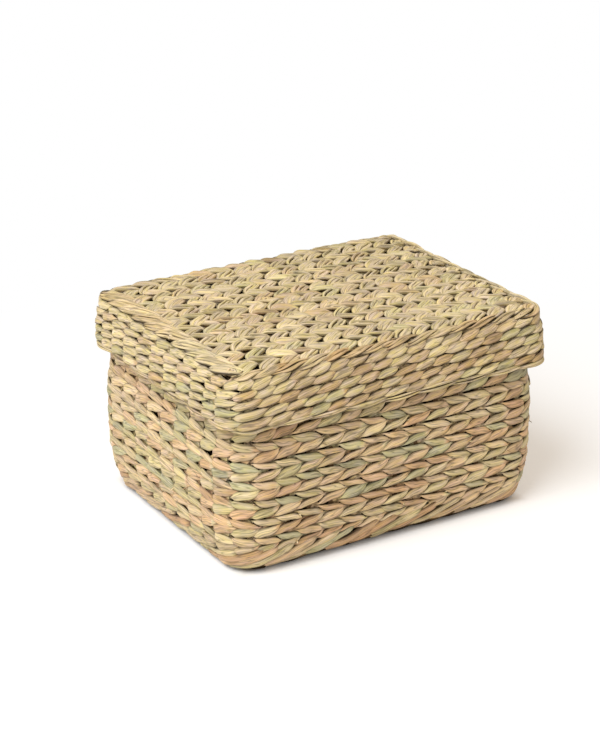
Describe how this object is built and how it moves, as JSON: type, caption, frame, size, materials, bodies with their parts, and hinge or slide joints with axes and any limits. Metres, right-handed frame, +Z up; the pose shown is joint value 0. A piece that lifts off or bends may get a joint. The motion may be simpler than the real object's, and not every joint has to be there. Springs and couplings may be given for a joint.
{
  "type": "woven lidded box",
  "caption": "Rectangular seagrass storage box of twined courses round stakes, with rounded foot and corners, and a deep lift-off lid whose skirt drops over the body's neck.",
  "frame": {"origin": "on the floor under the middle of the box", "axes": "+X along the long side, +Y to the back of the short side, +Z up through the lid"},
  "size_m": [0.28, 0.23, 0.16],
  "materials": {
    "body_weave": "matte dried seagrass, tan with sage strands",
    "lid_weave": "matte dried seagrass, straw",
    "edge_wale": "matte dried seagrass, amber straw",
    "stake": "matte dried reed"
  },
  "bodies": {
    "body": {"base_band_01": "body_weave", "base_band_02": "body_weave", "base_band_03": "body_weave", "base_band_04": "body_weave", "base_band_05": "body_weave", "base_band_06": "body_weave", "base_band_07": "body_weave", "base_band_08": "body_weave", "base_band_09": "body_weave", "base_band_10": "body_weave", "base_edge_course": "edge_wale", "foot_wale": "body_weave", "wall_course_01": "body_weave", "wall_course_02": "body_weave", "wall_course_03": "body_weave", "wall_course_04": "body_weave", "wall_course_05": "body_weave", "wall_course_06": "body_weave", "wall_course_07": "body_weave", "wall_course_08": "body_weave", "wall_course_09": "body_weave", "wall_course_10": "body_weave", "wall_course_11": "body_weave", "wall_course_12": "body_weave", "wall_course_13": "body_weave", "wall_course_14": "body_weave", "wall_course_15": "body_weave", "wall_course_16": "body_weave", "wall_course_17": "body_weave", "wall_course_18": "body_weave", "body_rim": "body_weave", "body_stakes": "stake"},
    "lid": {"lid_band_01": "lid_weave", "lid_band_02": "lid_weave", "lid_band_03": "lid_weave", "lid_band_04": "lid_weave", "lid_band_05": "lid_weave", "lid_band_06": "lid_weave", "lid_band_07": "lid_weave", "lid_band_08": "lid_weave", "lid_band_09": "lid_weave", "lid_band_10": "lid_weave", "lid_edge_wale": "edge_wale", "skirt_course_01": "lid_weave", "skirt_course_02": "lid_weave", "skirt_course_03": "lid_weave", "skirt_course_04": "lid_weave", "skirt_course_05": "lid_weave", "lid_rim": "lid_weave", "lid_stakes": "stake"}
  },
  "joints": [
    {"name": "lid_lift", "type": "slide", "parent": "body", "child": "lid", "axis": [0, 0, 1], "range_m": [0, 0.15]}
  ]
}
